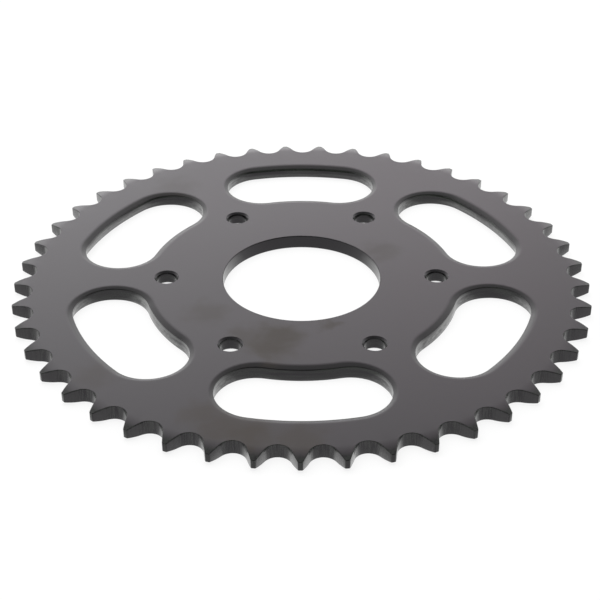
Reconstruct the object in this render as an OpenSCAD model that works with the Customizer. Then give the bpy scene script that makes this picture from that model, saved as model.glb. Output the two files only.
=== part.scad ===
// Rear drive sprocket: one flat steel plate with a toothed rim for a roller chain,
// a bolted ring round the hub bore and windows that leave spokes between the two.
// The hub-side face lies on Z = 0, the wheel axis is +Z and the first bolt hole is on +X.

/* [Chain] */
// Chain pitch, from roller centre to roller centre
chain_pitch = 15.875; // [15:0.005:19.05]
// Diameter of the chain's rollers
roller_d = 10.16; // [7.75:0.01:11]
// Number of teeth
teeth = 45; // [40:1:60]

/* [Teeth] */
// Gap between a roller and its seat
seat_clearance = 0.05; // [0:0.01:0.2]
// Angle of the roller seat, from one flank round to the other
seat_angle = 126; // [118:1:138]
// Radius of the tooth flanks, which bulge towards the roller
flank_r = 120; // [60:5:180]
// Height of the tooth tips above the pitch circle
tip_height = 3; // [2:0.1:4]
// Angle from the first bolt hole to the first tooth gap
tooth_turn = 1.35; // [-4:0.05:4]
// Radial width of the side radius that thins the teeth towards their tips
relief_w = 7; // [4:0.1:8]
// Depth of the side radius at the tips, on each face
relief_depth = 1.1; // [0.4:0.05:1.8]
// Radius of the tooth sides
relief_r = 23; // [8:0.5:40]

/* [Plate] */
// Thickness of the plate
plate_t = 5.8; // [4:0.1:8]
// Radial width of the rim, from the windows out to the bottom of the tooth gaps
rim_w = 14.2; // [8:0.1:25]

/* [Windows] */
// Number of windows
window_count = 6; // [3:1:8]
// Width of the spokes where they are narrowest
spoke_w = 15.9; // [10:0.1:26]
// Radius that punching rolls along the outer face's window edges
window_roll = 1.5; // [0.5:0.1:2.5]

/* [Hub] */
// Diameter of the bolted ring, which the windows start from
ring_d = 127.5; // [124:0.5:150]
// Diameter of the hub bore
bore_d = 64; // [40:0.5:92]
// Chamfer on both ends of the hub bore
bore_chamfer = 0.3; // [0.1:0.05:1]
// Number of bolts
bolt_count = 6; // [3:1:8]
// Diameter of the bolt circle
bolt_pcd = 110; // [82:0.5:112]
// Diameter of the bolt holes
bolt_hole_d = 8.5; // [5:0.1:11]
// Chamfer on both ends of the bolt holes
bolt_chamfer = 0.75; // [0.2:0.05:1.5]

/* [Hidden] */
$fn = 96;
// How far cuts run past the faces they open
over = 1;
// How far a flank's arc runs into its roller seat, so that the two cross in a clear edge
flank_bite = 0.02;
// How far a rolled edge's arc rises past the outer face, so that the two cross in a clear edge
roll_bite = 0.01;
// Share of a window that each of its halves covers, so that the halves overlap in the middle
half_share = 0.75;

pitch_r = chain_pitch / 2 / sin(180 / teeth);
root_r = pitch_r - roller_d / 2;
tip_r = pitch_r + tip_height;
seat_r = roller_d / 2 + seat_clearance;

window_r_in = ring_d / 2;
window_r_out = root_r - rim_w;
window_r_mid = (window_r_in + window_r_out) / 2;
window_end_r = (window_r_out - window_r_in) / 2;
// Angle from a window's middle to the centre of its round end
window_half_angle = 180 / window_count - asin((spoke_w / 2 + window_end_r) / window_r_mid);

// Centre of the side radius, for an arc from the outer face down to the tip
relief_chord = norm([relief_w, relief_depth]);
relief_bow = sqrt(pow(relief_r, 2) - pow(relief_chord / 2, 2)) / relief_chord;
relief_centre = [
    tip_r - relief_w / 2 - relief_bow * relief_depth,
    plate_t - relief_depth / 2 - relief_bow * relief_w
];

// Section of what the side radius takes off the rim at the outer face
module side_relief() {
    difference() {
        translate([relief_centre.x, plate_t / 2])
            square([tip_r + over - relief_centre.x, plate_t / 2 + over]);
        translate(relief_centre)
            circle(r = relief_r);
    }
}

// Turned disc, thinned towards its edge on both faces
module turned_blank() {
    rotate_extrude()
        difference() {
            square([tip_r, plate_t]);
            side_relief();
            translate([0, plate_t])
                mirror([0, 1])
                    side_relief();
        }
}

// One gap between two teeth, on +X: a round roller seat that opens into two bulging flanks
module tooth_gap() {
    seat_x = seat_r * cos(seat_angle / 2);
    seat_y = seat_r * sin(seat_angle / 2);
    flank_reach = (seat_r + flank_r - flank_bite) / seat_r;
    mouth_y = tip_r * tan(180 / teeth);
    translate([0, 0, -over])
        linear_extrude(plate_t + 2 * over) {
            translate([pitch_r, 0])
                circle(r = seat_r);
            difference() {
                polygon([
                    [pitch_r - seat_x, -seat_y],
                    [tip_r + over, -mouth_y],
                    [tip_r + over, mouth_y],
                    [pitch_r - seat_x, seat_y]
                ]);
                for (side = [-1, 1])
                    translate([pitch_r - flank_reach * seat_x, side * flank_reach * seat_y])
                        circle(r = flank_r);
            }
        }
}

// Section of half a window, from its middle out to its wall, with the flare that punching rolls
module window_section() {
    roll_z = plate_t + roll_bite - window_roll;
    translate([0, -over])
        square([window_end_r, plate_t + 2 * over]);
    difference() {
        translate([window_end_r - over, roll_z])
            square([over + window_roll, window_roll + over]);
        translate([window_end_r + window_roll, roll_z])
            circle(r = window_roll);
    }
}

// Part of a window: its round end, centred on +X, and the bent slot that starts from it
module window_half() {
    translate([window_r_mid, 0, 0])
        rotate([0, 0, 180])
            rotate_extrude(angle = 180)
                window_section();
    rotate_extrude(angle = half_share * 2 * window_half_angle)
        translate([window_r_mid, 0])
            for (side = [0, 1])
                mirror([side, 0])
                    window_section();
}

// One window, on +X: a slot bent round the hub, with round ends and a rolled edge
module window() {
    for (side = [0, 1])
        mirror([0, side, 0])
            rotate([0, 0, -window_half_angle])
                window_half();
}

// Round hole through the plate, chamfered at both faces
module drilled_hole(d, chamfer) {
    translate([0, 0, -over])
        cylinder(d = d, h = plate_t + 2 * over);
    for (face = [0, 1])
        translate([0, 0, face * plate_t])
            mirror([0, 0, 1 - face])
                translate([0, 0, -chamfer])
                    cylinder(r1 = d / 2, r2 = d / 2 + chamfer + over, h = chamfer + over);
}

module sprocket_plate() {
    color("dimgray")
        difference() {
            turned_blank();
            for (i = [0 : teeth - 1])
                rotate([0, 0, tooth_turn + i * 360 / teeth])
                    tooth_gap();
            for (i = [0 : window_count - 1])
                rotate([0, 0, (i + 0.5) * 360 / window_count])
                    window();
            for (i = [0 : bolt_count - 1])
                rotate([0, 0, i * 360 / bolt_count])
                    translate([bolt_pcd / 2, 0, 0])
                        drilled_hole(bolt_hole_d, bolt_chamfer);
            drilled_hole(bore_d, bore_chamfer);
        }
}

sprocket_plate();
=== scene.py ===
import math

import bmesh
import bpy
from mathutils import Matrix


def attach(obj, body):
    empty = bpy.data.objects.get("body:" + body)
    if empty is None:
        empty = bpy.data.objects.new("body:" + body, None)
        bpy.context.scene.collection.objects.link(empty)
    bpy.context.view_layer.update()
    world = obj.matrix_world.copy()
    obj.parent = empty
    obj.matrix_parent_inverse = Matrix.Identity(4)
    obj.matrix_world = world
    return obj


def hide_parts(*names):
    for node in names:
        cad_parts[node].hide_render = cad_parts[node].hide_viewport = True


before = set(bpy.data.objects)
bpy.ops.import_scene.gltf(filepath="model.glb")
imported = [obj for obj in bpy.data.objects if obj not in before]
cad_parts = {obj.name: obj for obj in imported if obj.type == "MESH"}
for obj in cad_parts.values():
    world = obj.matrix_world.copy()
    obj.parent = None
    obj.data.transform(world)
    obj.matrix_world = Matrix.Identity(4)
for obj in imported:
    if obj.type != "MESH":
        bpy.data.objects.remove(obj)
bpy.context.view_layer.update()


# Toothed rim: the outer edge of the one steel plate, hobbed all round with roller seats for the chain.
# The teeth thin towards their tips on both faces, and their cut edges are deburred to a small round.
class Wire:
    """A socket in a node tree. Sums on it add Math nodes to that tree."""

    def __init__(self, tree, socket=None):
        self.tree = tree
        self.socket = socket

    def node(self, kind, settings=None, sockets=None, out=0):
        """A new node in the same tree, with its settings made and its sockets filled or linked."""
        made = self.tree.nodes.new(kind)
        for name, value in (settings or {}).items():
            setattr(made, name, value)
        for name, value in (sockets or {}).items():
            for part in value if isinstance(value, list) else [value]:
                if isinstance(part, Wire):
                    self.tree.links.new(part.socket, made.inputs[name])
                else:
                    made.inputs[name].default_value = part
        return Wire(self.tree, made.outputs[out] if made.outputs else None)

    def maths(self, operation, *values):
        return self.node("ShaderNodeMath", {"operation": operation}, dict(enumerate(values)))

    def ramp(self, start, end, low=0.0, high=1.0, shape="LINEAR"):
        ends = {"Value": self, "From Min": start, "From Max": end, "To Min": low, "To Max": high}
        return self.node("ShaderNodeMapRange", {"interpolation_type": shape}, ends)

    def mix(self, under, over):
        """Colour that goes from under to over as this value goes from 0 to 1."""
        return self.node("ShaderNodeMix", {"data_type": "RGBA"}, {0: self, 6: under, 7: over}, out=2)

    def vector(self, operation, *values, **sockets):
        """Result of a Vector Math node on this vector."""
        inputs = dict(enumerate((self, *values)))
        return self.node("ShaderNodeVectorMath", {"operation": operation}, {**inputs, **sockets})

    def axis(self, name):
        """One of the three parts of this vector."""
        return self.node("ShaderNodeSeparateXYZ", {}, {"Vector": self}, out=name)

    def noise(self, scale, detail=2.0, out="Fac"):
        """Smooth noise round 0.5 at this place."""
        inputs = {"Vector": self, "Scale": scale, "Detail": detail}
        return self.node("ShaderNodeTexNoise", {}, inputs, out)

    def __add__(self, other):
        return self.maths("ADD", self, other)

    def __radd__(self, other):
        return self.maths("ADD", other, self)

    def __sub__(self, other):
        return self.maths("SUBTRACT", self, other)

    def __rsub__(self, other):
        return self.maths("SUBTRACT", other, self)

    def __mul__(self, other):
        return self.maths("MULTIPLY", self, other)

    def __rmul__(self, other):
        return self.maths("MULTIPLY", other, self)

    def __truediv__(self, other):
        return self.maths("DIVIDE", self, other)

    def __rtruediv__(self, other):
        return self.maths("DIVIDE", other, self)

    def __abs__(self):
        return self.maths("ABSOLUTE", self)

    def __gt__(self, other):
        return self.maths("GREATER_THAN", self, other)

    def sin(self):
        return self.maths("SINE", self)

    def cos(self):
        return self.maths("COSINE", self)

    def root(self):
        return self.maths("SQRT", self)


# The plate's shape is one rule in millimetres; each of its sizes is a named input of the tree.
plate_tree = bpy.data.node_groups.new("sprocket_plate", "GeometryNodeTree")
plate_tree.interface.new_socket("Plate", in_out="OUTPUT", socket_type="NodeSocketGeometry")
plate_sizes = {}
rule = Wire(plate_tree)


def size(name, value):
    """A named size of the plate, as an input of its tree."""
    kind = "NodeSocketInt" if isinstance(value, int) else "NodeSocketFloat"
    socket = plate_tree.interface.new_socket(name, in_out="INPUT", socket_type=kind)
    plate_sizes[socket.identifier] = value
    return rule.node("NodeGroupInput", out=name)


def lattice(columns, rows):
    """A grid of points to be bent into a band, with each point's column and row."""
    flat = rule.node("GeometryNodeMeshGrid", {}, {"Vertices X": columns + 1, "Vertices Y": rows + 1})
    index = rule.node("GeometryNodeInputIndex")
    column = rule.maths("FLOOR", index / (rows + 1))
    return flat, column, index - column * (rows + 1)


def bent(flat, x, y, z):
    """The grid with each of its points moved to its place in the band."""
    place = rule.node("ShaderNodeCombineXYZ", {}, {"X": x, "Y": y, "Z": z})
    return rule.node("GeometryNodeSetPosition", {}, {"Geometry": flat, "Position": place})


def round_hub(piece, count, first_turn, radius=0.0):
    """Copies of a piece on a circle round the hub, the first one turned from +X."""
    index = rule.node("GeometryNodeInputIndex")
    turn = first_turn + index * (2 * math.pi) / count
    spot = rule.node("ShaderNodeCombineXYZ", {}, {"X": turn.cos() * radius, "Y": turn.sin() * radius})
    points = rule.node("GeometryNodePoints", {}, {"Count": count, "Position": spot})
    spin = rule.node("ShaderNodeCombineXYZ", {}, {"Z": turn})
    copies = {"Points": points, "Instance": piece, "Rotation": spin}
    return rule.node("GeometryNodeInstanceOnPoints", {}, copies)


THICKNESS_MM = 5.8
thickness = size("Thickness", THICKNESS_MM)
teeth = size("Teeth", 45)
chain_pitch = size("Chain pitch", 15.875)
seat_r = size("Roller seat radius", 5.13)
half_seat = size("Half seat angle", math.radians(63))
flank_r = size("Flank radius", 120.0)
tip_height = size("Tip height", 3.0)
tip_round = size("Tip corner round", 0.6)
first_gap = size("First gap", math.radians(1.35))
relief_w = size("Side relief width", 7.0)
relief_depth = size("Side relief depth", 1.1)
relief_r = size("Side relief radius", 23.0)
seat_edge = size("Seat edge round", 0.2)
flank_edge = size("Flank edge round", 0.3)
rim_margin = size("Rim flat margin", 0.3)
rim_inner_r = size("Rim inner radius", 103.0)

SEAT_STEPS, FLANK_STEPS, CORNER_STEPS, TIP_STEPS = 11, 6, 4, 2
RELIEF_STEPS, ROUND_STEPS = 6, 4
flank_column = SEAT_STEPS + FLANK_STEPS
corner_column = flank_column + CORNER_STEPS
half_columns = corner_column + TIP_STEPS
half_rows = 1 + RELIEF_STEPS + ROUND_STEPS + 1

half_pitch = math.pi / teeth
pitch_r = chain_pitch / 2 / half_pitch.sin()
tip_r = pitch_r + tip_height
flank_x = pitch_r - (seat_r + flank_r) * half_seat.cos()
flank_y = (seat_r + flank_r) * half_seat.sin()
flank_reach = (flank_x * flank_x + flank_y * flank_y).root()
# The outline is followed along its core, which lies inside it by the round of the tip corners.
core_seat_r = seat_r + tip_round
core_flank_r = flank_r - tip_round
core_tip_r = tip_r - tip_round
reach_left = core_tip_r * core_tip_r - flank_reach * flank_reach - core_flank_r * core_flank_r
tip_cosine = reach_left / (2 * core_flank_r * flank_reach)
flank_end = rule.maths("ARCTAN2", flank_y, flank_x) - rule.maths("ARCCOSINE", tip_cosine)
corner_x = flank_x + core_flank_r * flank_end.cos()
corner_y = flank_y + core_flank_r * flank_end.sin()
land_start = rule.maths("ARCTAN2", corner_y, corner_x)

# One pitch of the rim, from tooth middle to tooth middle, with the gap between them on +X.
flat, column, row = lattice(2 * half_columns, 2 * half_rows)
across = abs(column - half_columns)
seat_turn = across.ramp(0, SEAT_STEPS) * half_seat
flank_turn = across.ramp(SEAT_STEPS, flank_column) * (flank_end + half_seat) - half_seat
corner_turn = across.ramp(flank_column, corner_column) * (land_start - flank_end)
land_turn = across.ramp(corner_column, half_columns) * (half_pitch - land_start) + land_start
core_x = (
    pitch_r
    - core_seat_r * seat_turn.cos()
    + core_flank_r * (flank_turn.cos() - half_seat.cos())
    + core_tip_r * (land_turn.cos() - land_start.cos())
)
core_y = (
    core_seat_r * seat_turn.sin()
    + core_flank_r * (flank_turn.sin() + half_seat.sin())
    + core_tip_r * (land_turn.sin() - land_start.sin())
)
# Way out of the steel at each point of the outline.
tooth_round = seat_edge + across.ramp(SEAT_STEPS / 2, SEAT_STEPS) * (flank_edge - seat_edge)
facing = half_seat - seat_turn + flank_turn + corner_turn + land_turn - land_start
face_x = core_x + facing.cos() * (tip_round - tooth_round)
face_y = core_y + facing.sin() * (tip_round - tooth_round)
face_r = (face_x * face_x + face_y * face_y).root()

relief_chord = (relief_w * relief_w + relief_depth * relief_depth).root()
relief_bow = (relief_r * relief_r - relief_chord * relief_chord / 4).root() / relief_chord
relief_x = tip_r - relief_w / 2 - relief_bow * relief_depth
relief_z = thickness - relief_depth / 2 - relief_bow * relief_w


def tooth_side(radius):
    """Height of the outer face at a radius: flat, then falling along the side relief."""
    run = rule.maths("MAXIMUM", radius - relief_x, 0.0)
    arc = relief_z + (relief_r * relief_r - run * run).root()
    return rule.maths("MINIMUM", thickness, arc)


inward = half_rows - abs(row - half_rows)
crease_r = rule.maths("MINIMUM", tip_r - relief_w, face_r - rim_margin)
over_face = inward.ramp(0, 1)
over_relief = inward.ramp(1, 1 + RELIEF_STEPS)
over_round = inward.ramp(1 + RELIEF_STEPS, half_rows - 1) * (math.pi / 2)
over_wall = inward.ramp(half_rows - 1, half_rows)
band_r = rim_inner_r + over_face * (crease_r - rim_inner_r) + over_relief * (face_r - crease_r)
band_out = tooth_round * over_round.sin()
edge_z = tooth_side(face_r) - tooth_round
band_z = tooth_side(band_r) - tooth_round * (1 - over_round.cos()) - over_wall * (edge_z - thickness / 2)
side = rule.maths("SIGN", column - half_columns)
face = rule.maths("SIGN", half_rows - row)
one_pitch = bent(
    flat,
    face_x / face_r * band_r + facing.cos() * band_out,
    side * (face_y / face_r * band_r + facing.sin() * band_out),
    thickness / 2 + face * (band_z - thickness / 2),
)
toothed_rim = round_hub(one_pitch, teeth, first_gap)


# Windows: kidney-shaped openings punched through the plate, which leave the spokes between them.
# The punch draws the outer face in over a wide roll and burnishes the wall below it, and the steel
# then tears wider towards the hub side, out to the size of the die.
window_count = size("Windows", 6)
ring_r = size("Bolted ring radius", 63.93)
window_outer_r = size("Window outer radius", 93.7)
spoke_w = size("Spoke width", 16.3)
burnish_h = size("Burnished wall height", 1.0)
window_lip = size("Window lip round", 0.12)
margin = size("Flat margin", 0.5)

ROLL_STEPS, BROW_STEPS, WALL_STEPS, LIP_STEPS = 6, 7, 2, 2
OUTER_STEPS, END_STEPS, INNER_STEPS = 30, 36, 20
window_columns = OUTER_STEPS + END_STEPS + INNER_STEPS + END_STEPS
slope_row = 1 + ROLL_STEPS
brow_row = slope_row + 1
burnish_row = brow_row + BROW_STEPS
tear_row = burnish_row + WALL_STEPS
lip_row = tear_row + WALL_STEPS
window_rows = lip_row + LIP_STEPS + 1

window_mid_r = (ring_r + window_outer_r) / 2
window_end_r = (window_outer_r - ring_r) / 2
end_turn = math.pi / window_count - rule.maths("ARCSINE", (spoke_w / 2 + window_end_r) / window_mid_r)
flat, column, row = lattice(window_columns, window_rows)
outer_run = column.ramp(0, OUTER_STEPS)
first_end = column.ramp(OUTER_STEPS, OUTER_STEPS + END_STEPS)
inner_run = column.ramp(OUTER_STEPS + END_STEPS, window_columns - END_STEPS)
last_end = column.ramp(window_columns - END_STEPS, window_columns)
slot_turn = end_turn * (2 * outer_run - 1 - 2 * inner_run)
wall_turn = slot_turn + (first_end + last_end) * math.pi

# Section of the wall, from the outer face down: the roll, its slope and brow, the wall and the tear.
# The punch draws the rim side of a window further in than the hub side, and its round ends least.
inner_share = first_end.ramp(0.0, 0.6) - last_end.ramp(0.4, 1.0)
at_ends = 4 * (first_end * (1 - first_end) + last_end * (1 - last_end))


def along_wall(name, outer, inner):
    """A size that changes from the window's rim side to its hub side."""
    outer = size("Outer " + name, outer)
    return outer + inner_share * (size("Inner " + name, inner) - outer)


roll_bend = along_wall("roll bend", math.radians(22), math.radians(18))
end_draw = 1 - at_ends * size("Draw lost at the ends", 0.35)
roll_r = along_wall("roll radius", 5.0, 4.5) * end_draw
slope_w = along_wall("slope width", 0.9, 1.3) * end_draw
brow_r = along_wall("brow radius", 0.7, 0.55)
burnish_lean = along_wall("burnish lean", math.radians(78), math.radians(82))
tear_flare = along_wall("tear flare", 1.3, 0.1)
on_margin = row.ramp(0, 1)
roll_lean = roll_bend * row.ramp(1, slope_row)
on_slope = row.ramp(slope_row, brow_row)
brow_lean = roll_bend + (burnish_lean - roll_bend) * row.ramp(brow_row, burnish_row)
on_burnish = row.ramp(burnish_row, tear_row)
on_tear = row.ramp(tear_row, lip_row)
lip_lean = row.ramp(lip_row, window_rows - 1) * (math.pi / 2)
off_lip = row.ramp(window_rows - 1, window_rows)
slope_h = slope_w * rule.maths("TANGENT", roll_bend)
burnish_w = burnish_h / rule.maths("TANGENT", burnish_lean)
brow_top = roll_r * (1 - roll_bend.cos()) + slope_h
tear_top = brow_top + brow_r * (roll_bend.cos() - burnish_lean.cos()) + burnish_h
tear_h = thickness - tear_top - window_lip
setback = (
    margin * (1 - on_margin)
    + roll_r * (roll_bend.sin() - roll_lean.sin())
    + slope_w * (1 - on_slope)
    + brow_r * (burnish_lean.sin() - brow_lean.sin())
    + burnish_w * (1 - on_burnish)
    + tear_flare * on_tear
    + window_lip * (1 - lip_lean.cos())
    + margin * off_lip
)
depth = (
    roll_r * (1 - roll_lean.cos())
    + slope_h * on_slope
    + brow_r * (roll_bend.cos() - brow_lean.cos())
    + burnish_h * on_burnish
    + tear_h * on_tear
    + window_lip * lip_lean.sin()
)
one_window = bent(
    flat,
    window_mid_r * slot_turn.cos() + (window_end_r + setback) * wall_turn.cos(),
    window_mid_r * slot_turn.sin() + (window_end_r + setback) * wall_turn.sin(),
    thickness - depth,
)
windows = round_hub(one_window, window_count, math.pi / window_count)


# Bolt holes and hub bore: drilled and bored straight through the ring in the middle of the plate.
# Both ends of each hole are countersunk, the bolt holes deeply and the bore only to break its edge.
bolt_count = size("Bolt holes", 6)
bolt_circle_r = size("Bolt circle radius", 55.0)
bolt_hole_r = size("Bolt hole radius", 4.25)
bolt_chamfer = size("Bolt hole chamfer", 0.75)
bolt_edge = size("Bolt hole edge round", 0.15)
bore_r = size("Bore radius", 32.0)
bore_chamfer = size("Bore chamfer", 0.3)
bore_edge = size("Bore edge round", 0.1)

EDGE_STEPS, BOLT_COLUMNS, BORE_COLUMNS = 3, 64, 180


def drilled_hole(radius, chamfer, edge_round, columns):
    """Wall and chamfers of a hole on the wheel axis, with a flat margin on each face."""
    half = 2 + EDGE_STEPS + 1
    flat, column, row = lattice(columns, 2 * half)
    turn = column * (2 * math.pi / columns)
    inward = half - abs(row - half)
    on_margin = inward.ramp(0, 1)
    on_chamfer = inward.ramp(1, 2)
    on_round = inward.ramp(2, 2 + EDGE_STEPS) * (math.pi / 4)
    on_wall = inward.ramp(2 + EDGE_STEPS, half)
    # The round joins the chamfer's slope to the wall, so it starts at half a right angle.
    bend = math.pi / 4 - on_round
    tangent = math.tan(math.pi / 8) * edge_round
    chamfer_run = (chamfer - tangent * math.sin(math.pi / 4)) * on_chamfer
    out = (
        margin * (1 - on_margin)
        + chamfer
        - chamfer_run
        - edge_round * (bend.cos() - math.cos(math.pi / 4))
    )
    down = (
        chamfer_run
        + edge_round * (math.sin(math.pi / 4) - bend.sin())
        + on_wall * (thickness / 2 - chamfer - tangent)
    )
    face = rule.maths("SIGN", half - row)
    z = thickness / 2 + face * (thickness / 2 - down)
    return bent(flat, (radius + out) * turn.cos(), (radius + out) * turn.sin(), z)


bolt_hole = drilled_hole(bolt_hole_r, bolt_chamfer, bolt_edge, BOLT_COLUMNS)
bolt_holes = round_hub(bolt_hole, bolt_count, 0.0, bolt_circle_r)
bore = drilled_hole(bore_r, bore_chamfer, bore_edge, BORE_COLUMNS)


# Flat faces: the sheet the plate is cut from, ground flat on both sides.
# They fill what the rim, the windows and the holes leave of it, and close the plate to one solid.
MERGE_MM = 0.004
MM_PER_M = 1000.0
rims_and_walls = [toothed_rim, windows, bolt_holes, bore]
edges = rule.node("GeometryNodeJoinGeometry", {}, {"Geometry": rims_and_walls})
edges = rule.node("GeometryNodeRealizeInstances", {}, {"Geometry": edges})
edges = rule.node("GeometryNodeMergeByDistance", {}, {"Geometry": edges, "Distance": MERGE_MM})
neighbours = rule.node("GeometryNodeInputMeshEdgeNeighbors")
height = rule.node("GeometryNodeInputPosition").axis("Z")
open_edge = rule.maths("COMPARE", neighbours, 1, 0.1)


def flat_face(chosen, z):
    """A sheet that fills the chosen open edges at one height."""
    rims = rule.node("GeometryNodeMeshToCurve", {}, {"Mesh": edges, "Selection": chosen})
    sheet = rule.node("GeometryNodeFillCurve", {}, {"Curve": rims})
    lift = rule.node("ShaderNodeCombineXYZ", {}, {"Z": z})
    return rule.node("GeometryNodeTransform", {}, {"Geometry": sheet, "Translation": lift})


outer_face = flat_face(open_edge * (height > thickness / 2), thickness)
hub_face = flat_face(open_edge * (thickness / 2 > height), 0.0)
whole = rule.node("GeometryNodeJoinGeometry", {}, {"Geometry": [edges, outer_face, hub_face]})
whole = rule.node("GeometryNodeMergeByDistance", {}, {"Geometry": whole, "Distance": MERGE_MM})
to_metres = (1 / MM_PER_M, 1 / MM_PER_M, 1 / MM_PER_M)
whole = rule.node("GeometryNodeTransform", {}, {"Geometry": whole, "Scale": to_metres})
whole = rule.node("GeometryNodeRealizeInstances", {}, {"Geometry": whole})


# Black finish: hot black oxide grown on the bare steel in a salt bath, then oiled.
# It is satin on the flat faces and darker on the cut walls; the darker colour of the rolls, tooth
# reliefs and bore wall is painted shade, and oil and handling leave brown marks on the outer face.
GREY_OXIDE = (0.0480, 0.0460, 0.0492, 1)
WARM_OXIDE = (0.0430, 0.0325, 0.0385, 1)
SLOPE_PAINTED_SHADE = (0.0150, 0.0150, 0.0144, 1)
OIL_BROWN = (0.0170, 0.0120, 0.0070, 1)
CUT_WALL = (0.0070, 0.0092, 0.0066, 1)
BORE_PAINTED_SHADE = (0.0010, 0.0010, 0.0010, 1)
ROLLER_SEAT = (0.0170, 0.0185, 0.0165, 1)
TOOTH_FLANK = (0.0250, 0.0255, 0.0245, 1)
COUNTERSINK = (0.0140, 0.0135, 0.0140, 1)

finish = bpy.data.materials.new("black_oxide")
finish.use_nodes = True
finish.node_tree.nodes.clear()
coat = Wire(finish.node_tree)
mm = coat.node("ShaderNodeTexCoord", out="Object").vector("SCALE", Scale=MM_PER_M)
mm_x = mm.axis("X")
mm_y = mm.axis("Y")
mm_z = mm.axis("Z")
from_axis = (mm_x * mm_x + mm_y * mm_y).root()
upright = abs(coat.node("ShaderNodeTexCoord", out="Normal").axis("Z"))
cut = 1 - upright.ramp(0.1, 0.6, shape="SMOOTHSTEP")
cloud = mm.noise(0.035, 3.0)
grain = mm.noise(1.6)

# Oil marks on the outer face: where each lies in mm, how far it spreads and how strong it is.
OIL_MARKS = [
    (-9, -42, 12, 1.0),
    (-12, -49, 13, 1.0),
    (-14, -56, 7, 0.8),
    (-21, -43, 10, 0.6),
    (-38, -27, 11, 0.5),
    (10, -34, 5, 0.8),
    (-28, -97, 13, 0.8),
    (-20, -102, 13, 1.0),
    (-36, -91, 10, 0.7),
    (-2, -105, 12, 0.7),
    (-77, -67, 10, 0.4),
    (33, 20, 9, 0.45),
    (-56, 75, 12, 0.3),
]
wander = mm.noise(0.13, 3.0, "Color").vector("SUBTRACT", (0.5, 0.5, 0.5))
smeared = mm.vector("ADD", wander.vector("SCALE", Scale=16.0))
oiled = 0.0
for mark_x, mark_y, reach, strength in OIL_MARKS:
    ends = {0: smeared, 1: (mark_x, mark_y, THICKNESS_MM)}
    away = coat.node("ShaderNodeVectorMath", {"operation": "DISTANCE"}, ends, out="Value")
    mark = away.ramp(1.2 * reach, 0.2 * reach, 0.0, strength, shape="SMOOTHSTEP")
    oiled = coat.maths("MAXIMUM", oiled, mark)

# Faces: grey oxide with soft clouds, and painted shade where the plate bends and towards the front and
# right rim.
warm = mm_x.ramp(-90, 90) * 0.6 + cloud * 0.4
# Where the surface tilts from flat, on the rolls, slopes and tooth reliefs, its colour darkens: painted
# shade.
flat_unshaded = upright.ramp(0.955, 0.994, shape="SMOOTHSTEP")
oxide = flat_unshaded.mix(SLOPE_PAINTED_SHADE, warm.mix(GREY_OXIDE, WARM_OXIDE))
shade = 0.86 + cloud * 0.16 + grain * 0.12
# Painted shade: the faces darken towards the front and towards the right rim.
shade = shade * mm_y.ramp(-105, 55, 0.38, 1.0) * mm_x.ramp(70, 115, 1.0, 0.72)
oxide = oiled.mix(oxide.vector("SCALE", Scale=shade), OIL_BROWN)


# Walls: drawn lines along the windows' outline, torn steel below them, and milled lines on the teeth.
def zone(inner_r, outer_r, blend=1.0):
    """1 between two radii in mm and 0 outside them, with soft ends."""
    return from_axis.ramp(inner_r, inner_r + blend) * from_axis.ramp(outer_r, outer_r - blend)


in_bore = zone(0, 41)
on_bolts = zone(47, 62)
in_window = zone(58, 102, blend=2.0)
on_teeth = zone(106, 120)
on_seat = on_teeth * cut * from_axis.ramp(116.6, 116.3)
on_flank = cut * from_axis.ramp(110.6, 112.6) * from_axis.ramp(116.7, 116.4)
countersunk = on_bolts * upright.ramp(0.60, 0.66) * upright.ramp(0.80, 0.74)
torn = in_window * cut * (mm_z + 1.6 * (cloud - 0.5)).ramp(3.7, 3.3)
drawn = mm.vector("MULTIPLY", (0.07, 0.07, 0.9)).noise(1.0, 3.0)
milled = mm.vector("MULTIPLY", (2.2, 2.2, 0.15)).noise(1.0, 3.0)
tearing = mm.vector("MULTIPLY", (0.45, 0.45, 1.3)).noise(1.0, 4.0)
streaks = drawn + on_teeth * (milled - drawn)
wall = on_seat.mix(CUT_WALL, ROLLER_SEAT)
wall = wall.vector("SCALE", Scale=streaks.ramp(0.38, 0.62, 0.0, 2.0))
# The hub bore's wall is painted near black: painted shade inside the bore.
wall = in_bore.mix(wall, BORE_PAINTED_SHADE)
wall = (on_flank * (0.4 + 0.9 * grain)).mix(wall, TOOTH_FLANK)
wall = countersunk.mix(wall, COUNTERSINK)
flat_part = upright.ramp(0.4, 0.97, shape="SMOOTHSTEP")
tooth_side_part = upright.ramp(0.965, 0.994, shape="SMOOTHSTEP")
on_face = flat_part + on_teeth * (tooth_side_part - flat_part)
paint = (on_face * (1 - countersunk)).mix(wall, oxide)

# Gloss: satin where the steel is seen face on, and a harder sheen along walls that are seen aslant.
roughness = 0.33 + 0.08 * (cloud - 0.5) + 0.15 * oiled + cut * (0.3 * (streaks - 0.5) - 0.16)
bumps = 0.10 * grain + cut * (0.5 * streaks) + torn * (2.0 * tearing)
BUMP_M = 0.00002
relief = coat.node("ShaderNodeBump", {}, {"Strength": 1.0, "Distance": BUMP_M, "Height": bumps})
look = {"Base Color": paint, "Roughness": roughness, "Normal": relief}
satin_look = {**look, "IOR": 1.47, "Specular Tint": (0.985, 0.94, 1, 1)}
sheen_look = {**look, "IOR": 2.6}
satin = coat.node("ShaderNodeBsdfPrincipled", {}, satin_look)
sheen = coat.node("ShaderNodeBsdfPrincipled", {}, sheen_look)
aslant = coat.node("ShaderNodeLayerWeight", {}, {"Blend": 0.5}, out="Facing")
glancing = in_window * aslant.ramp(0.28, 0.62) + (1 - in_window) * aslant.ramp(0.42, 0.75)
dulled = 1 - torn * tearing.ramp(0.4, 0.6, 0.0, 0.7)
glancing = cut * glancing * dulled * streaks.ramp(0.38, 0.62, 0.7, 1.2)
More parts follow.
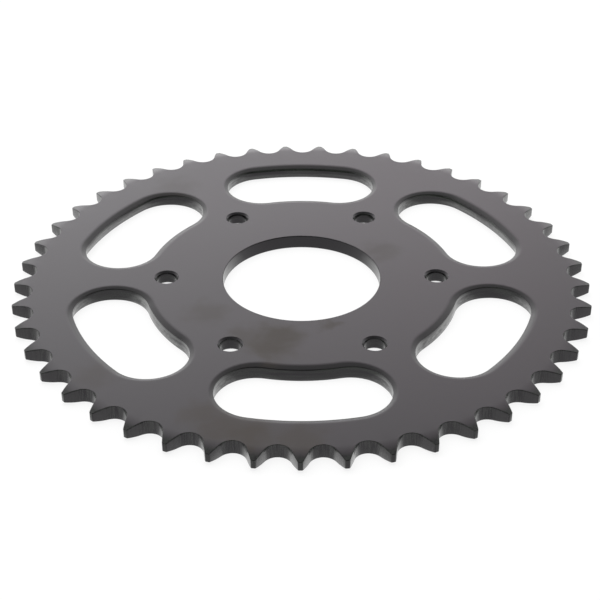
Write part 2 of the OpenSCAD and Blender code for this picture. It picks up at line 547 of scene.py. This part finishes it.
shader = coat.node("ShaderNodeMixShader", {}, {0: glancing, 1: satin, 2: sheen})
coat.node("ShaderNodeOutputMaterial", {}, {"Surface": shader})

whole = rule.node("GeometryNodeSetMaterial", {}, {"Geometry": whole, "Material": finish})
plate_out = plate_tree.nodes.new("NodeGroupOutput")
plate_tree.links.new(whole.socket, plate_out.inputs["Plate"])

plate = bpy.data.objects.new("sprocket_plate_body", bpy.data.meshes.new("sprocket_plate_body"))
bpy.context.scene.collection.objects.link(plate)
modifier = plate.modifiers.new("plate", "NODES")
modifier.node_group = plate_tree
for identifier, value in plate_sizes.items():
    modifier[identifier] = value
graph = bpy.context.evaluated_depsgraph_get()
solid = bpy.data.meshes.new_from_object(plate.evaluated_get(graph), depsgraph=graph)
plate.modifiers.remove(modifier)
plate.data = solid
shell = bmesh.new()
shell.from_mesh(solid)
bmesh.ops.recalc_face_normals(shell, faces=shell.faces)
shell.to_mesh(solid)
shell.free()
SHARP_EDGE = math.radians(33)
solid.shade_smooth()
solid.set_sharp_from_angle(angle=SHARP_EDGE)
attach(plate, "root")
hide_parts("sprocket_plate")


# Stage: a white table under the sprocket that glows, with painted light brighter towards the back in
# reflections, a soft studio sky that is brightest behind it, one wide lamp overhead, and the camera
# above the near edge.
TABLE_HALF_M, TABLE_GAP_M = 3.0, 0.0001
table_mesh = bpy.data.meshes.new("table")
table_top = bmesh.new()
bmesh.ops.create_grid(table_top, x_segments=1, y_segments=1, size=TABLE_HALF_M)
bmesh.ops.translate(table_top, verts=table_top.verts, vec=(0, 0, -TABLE_GAP_M))
table_top.to_mesh(table_mesh)
table_top.free()
table = bpy.data.objects.new("table", table_mesh)
bpy.context.scene.collection.objects.link(table)
white = bpy.data.materials.new("white_table")
white.use_nodes = True
white.node_tree.nodes.clear()
top = Wire(white.node_tree)
mirrored = top.node("ShaderNodeLightPath", out="Is Glossy Ray")
through = top.node("ShaderNodeLightPath", out="Is Transmission Ray")
seen = 0.85 * top.node("ShaderNodeLightPath", out="Is Camera Ray")
seen = top.maths("MAXIMUM", seen, top.maths("MAXIMUM", mirrored, through))
# The table glows evenly for the camera; in reflections it glows brighter towards the back: painted
# light.
far_back = top.node("ShaderNodeTexCoord", out="Object").axis("Y").ramp(0.3, 1.2, 0.0, 1.3)
paper = top.node("ShaderNodeBsdfDiffuse", {}, {"Color": (0.9, 0.9, 0.9, 1)})
backdrop_and_painted_glow = top.node("ShaderNodeEmission", {}, {"Color": 1 + mirrored * far_back, "Strength": 1.0})
surface = top.node("ShaderNodeMixShader", {}, {0: seen, 1: paper, 2: backdrop_and_painted_glow})
top.node("ShaderNodeOutputMaterial", {}, {"Surface": surface})
table_mesh.materials.append(white)

studio = bpy.data.worlds.new("studio")
bpy.context.scene.world = studio
studio.use_nodes = True
studio.node_tree.nodes.clear()
air = Wire(studio.node_tree)
# Heights in the sky count from a horizon that rises towards the back, which lies a little to the left.
way = air.node("ShaderNodeTexCoord", out="Generated")
way_x = way.axis("X")
way_y = way.axis("Y")
lift = way.axis("Z") - 0.33 * way_y
behind = 0.95 * way_y - 0.31 * way_x
ceiling = way_x.ramp(-0.5, 0.5, 0.55, 1.15)
backlight = lift.ramp(0.44, 0.74, 2.0, ceiling, shape="SMOOTHSTEP")
near_horizon = lift.ramp(0.0, 0.4, 1.12, 0.64)
dim_front = behind.ramp(-0.3, -0.65, 1.0, 0.2)
left_to_right = way_x.ramp(-0.2, 0.2, 1.19, 0.83)
dim_left = way_x.ramp(-0.2, -0.5, 1.0, 0.78)
sky = backlight * near_horizon * dim_front * left_to_right * dim_left
backdrop = air.node("ShaderNodeBackground", {}, {"Color": sky, "Strength": 1.0})
air.node("ShaderNodeOutputWorld", {}, {"Surface": backdrop})

lamp = bpy.data.lights.new("overhead", "AREA")
lamp.shape = "DISK"
lamp.size = 1.4
lamp.energy = 14.0
overhead = bpy.data.objects.new("overhead", lamp)
overhead.location = (-0.2, 0.2, 1.2)
overhead.visible_glossy = False
bpy.context.scene.collection.objects.link(overhead)

SENSOR_MM, FRAME_PX, FOCAL_PX = 36.0, 600, 1459.1
lens = bpy.data.cameras.new("camera")
lens.sensor_width = SENSOR_MM
lens.lens = SENSOR_MM * FOCAL_PX / FRAME_PX
lens.clip_start = 0.01
camera = bpy.data.objects.new("camera", lens)
stand = Matrix.Translation((-0.00387, -0.50201, 0.32499))
pan = Matrix.Rotation(math.radians(-0.366), 4, "Z")
tilt = Matrix.Rotation(math.radians(90 - 33.378), 4, "X")
roll = Matrix.Rotation(math.radians(-0.079), 4, "Z")
camera.matrix_world = stand @ pan @ tilt @ roll
bpy.context.scene.collection.objects.link(camera)
bpy.context.scene.camera = camera
bpy.context.scene.view_settings.view_transform = "Standard"
